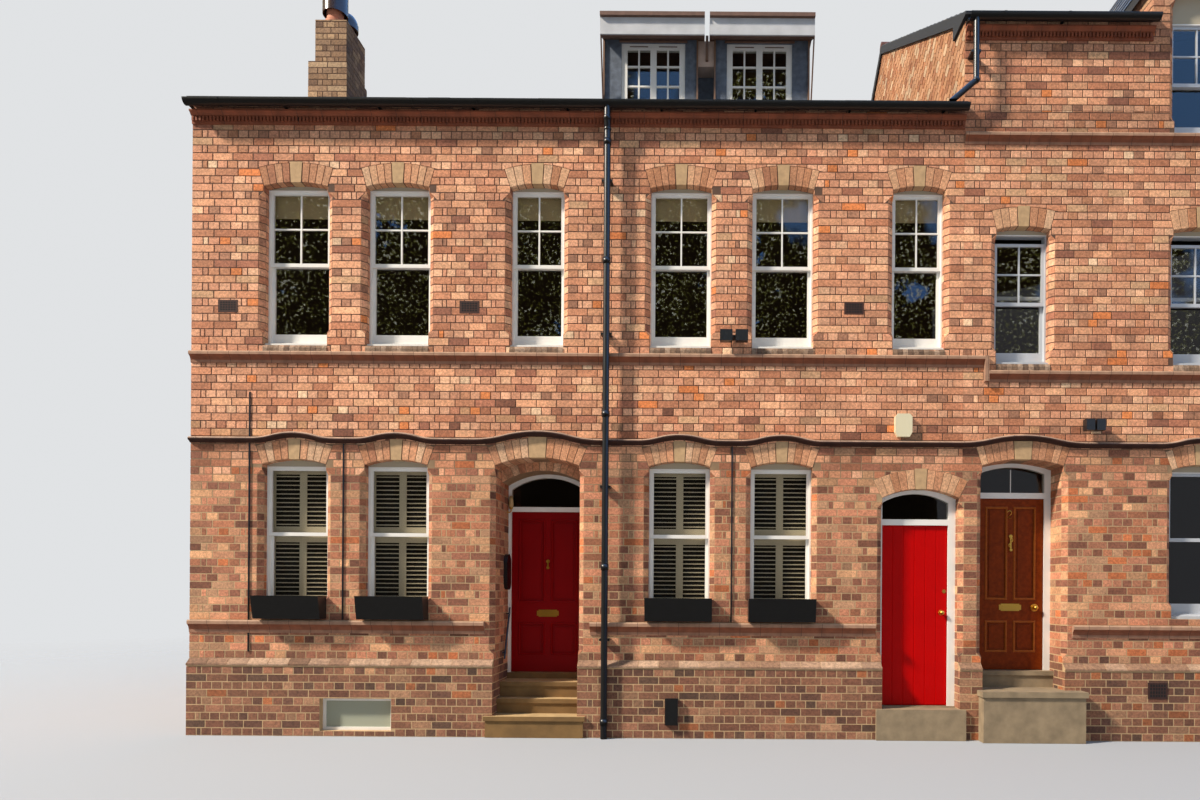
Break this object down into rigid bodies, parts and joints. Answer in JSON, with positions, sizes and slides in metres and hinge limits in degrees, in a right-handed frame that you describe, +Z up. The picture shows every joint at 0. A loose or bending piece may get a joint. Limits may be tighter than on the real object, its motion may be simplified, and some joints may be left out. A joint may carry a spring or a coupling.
{
  "type": "terraced house row",
  "caption": "Red-brick terrace of three stepped houses with arched sash windows, a wavy moulded label course and three hinged front doors.",
  "frame": {"origin": "foot of the front wall face at mid length, at the lowest ground level", "axes": "+X along the front to the right, +Y into the building, +Z up"},
  "size_m": [12.94, 9.064, 11.1327],
  "materials": {
    "red_brick": "rough",
    "arch_brick": "rough",
    "cream_stone": "matt",
    "brown_terracotta": "matt",
    "floor_timber": "matt",
    "black_iron": "satin paint",
    "slate": "matt",
    "ridge_clay": "matt",
    "roof_felt": "matt",
    "stack_brick": "rough",
    "white_joinery": "gloss paint",
    "shutter_paint": "satin paint",
    "blind_cloth": "matt",
    "window_glass": "clear",
    "step_stone": "rough",
    "alarm_cover": "satin",
    "brass": "polished",
    "deep_red_paint": "gloss paint",
    "bright_red_paint": "gloss paint",
    "varnished_wood": "varnished"
  },
  "bodies": {
    "row": {"front_walls": "red_brick", "door_head_walls": "red_brick", "back_wall": "red_brick", "party_walls": "red_brick", "floors": "floor_timber", "porch_cheeks": "red_brick", "brick_arches": "arch_brick", "keystones": "cream_stone", "plinth": "red_brick", "lower_sill_string": "brown_terracotta", "label_course": "brown_terracotta", "upper_sill_strings": "brown_terracotta", "eaves_cornice": "brown_terracotta", "gutters": "black_iron", "downpipes": "black_iron", "low_roof": "slate", "tall_roof": "slate", "ridge_tiles": "ridge_clay", "dormer_walls": "slate", "dormer_roofs": "roof_felt", "dormer_fascias": "white_joinery", "dormer_windows": "white_joinery", "gable_wall": "red_brick", "gable_roof": "slate", "chimney_stack": "stack_brick", "chimney_pots": "ridge_clay", "window_frames": "white_joinery", "sashes": "white_joinery", "window_glass": "window_glass", "shutters": "shutter_paint", "blinds": "blind_cloth", "door_posts": "white_joinery", "door_heads": "white_joinery", "door_steps": "step_stone", "window_boxes": "black_iron", "air_bricks": "brown_terracotta", "wall_fittings": "black_iron", "alarm_box": "alarm_cover", "hinge_plates": "brass"},
    "panel_door": {"panel_door_leaf": "deep_red_paint", "panel_door_brass": "brass"},
    "plank_door": {"plank_door_leaf": "bright_red_paint", "plank_door_brass": "brass"},
    "brown_door": {"brown_door_leaf": "varnished_wood", "brown_door_brass": "brass"}
  },
  "joints": [
    {"name": "panel_door_hinge", "type": "hinge", "parent": "row", "child": "panel_door", "pos_m": [-2.865, 0.763, 1.7], "axis": [0, 0, 1], "range_deg": [0, 90]},
    {"name": "plank_door_hinge", "type": "hinge", "parent": "row", "child": "plank_door", "pos_m": [1.684, 0.213, 1.45], "axis": [0, 0, 1], "range_deg": [0, 90]},
    {"name": "brown_door_hinge", "type": "hinge", "parent": "row", "child": "brown_door", "pos_m": [2.912, 0.428, 1.83], "axis": [0, 0, 1], "range_deg": [0, 90]}
  ]
}
